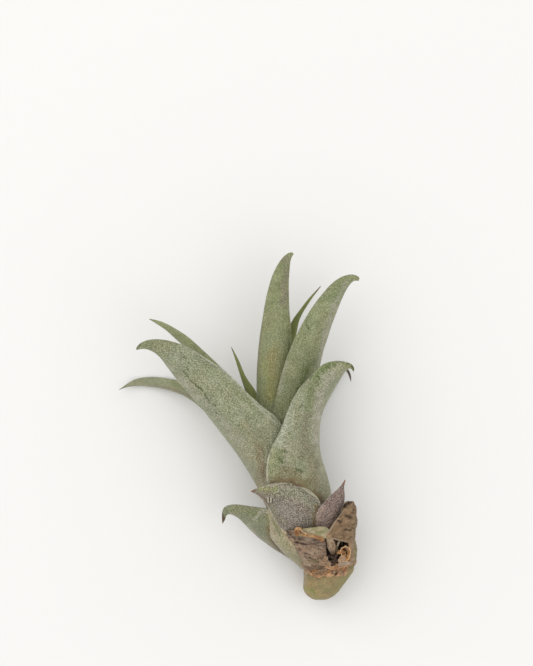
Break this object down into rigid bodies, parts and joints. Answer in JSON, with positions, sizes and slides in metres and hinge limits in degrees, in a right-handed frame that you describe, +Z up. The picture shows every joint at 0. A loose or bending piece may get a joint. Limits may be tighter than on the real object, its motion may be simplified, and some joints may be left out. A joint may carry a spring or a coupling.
{
  "type": "air plant",
  "caption": "Small picked air plant lying on its far side: a short stem with a rounded foot, overlapping arching silver-green leaves and dry torn sheaths round its base.",
  "frame": {"origin": "middle of the plant's footprint, on the surface that it lies on", "axes": "+Z up from the surface, +Y from the foot towards the longest leaf's tip, +X to the right"},
  "size_m": [0.0849, 0.1226, 0.0428],
  "materials": {
    "silver_leaf": "silvery grey-green leaf skin, matt, covered with fine pale scales",
    "young_leaf": "darker green young leaf skin, few scales, satin",
    "green_base": "pale green basal leaf skin, matt and scaly",
    "purple_base": "purple-grey basal leaf skin with fine pale scales, matt",
    "dry_tan": "dry tan leaf tissue, wrinkled, matt, with dark spots",
    "dry_brown": "dry brown-purple sheath tissue, finely wrinkled, matt",
    "dry_orange": "thin torn orange-brown tissue, matt",
    "pale_tissue": "smooth pale cream-green inner tissue, satin",
    "stem_skin": "smooth olive-green skin of a short woody stem, satin"
  },
  "bodies": {
    "root": {"stem": "stem_skin", "leaf_left_front": "silver_leaf", "leaf_right_front": "silver_leaf", "leaf_tall_center": "silver_leaf", "leaf_tall_right": "silver_leaf", "leaf_left_low": "silver_leaf", "leaf_right_back": "silver_leaf", "leaf_left_back": "young_leaf", "leaf_young_center": "young_leaf", "leaf_young_right": "young_leaf", "base_leaf_left": "green_base", "base_leaf_green": "green_base", "base_leaf_back": "green_base", "base_leaf_front": "purple_base", "base_leaf_purple": "purple_base", "base_leaf_right_back": "purple_base", "base_leaf_dry": "dry_tan", "sheath_dry_front": "dry_brown", "sheath_dry_right": "dry_brown", "sheath_dry_back": "dry_brown", "sheath_collar": "pale_tissue", "fringe_torn": "dry_orange", "shred_curl": "dry_orange", "shred_strip": "dry_tan", "shred_thin": "dry_tan"}
  },
  "joints": []
}
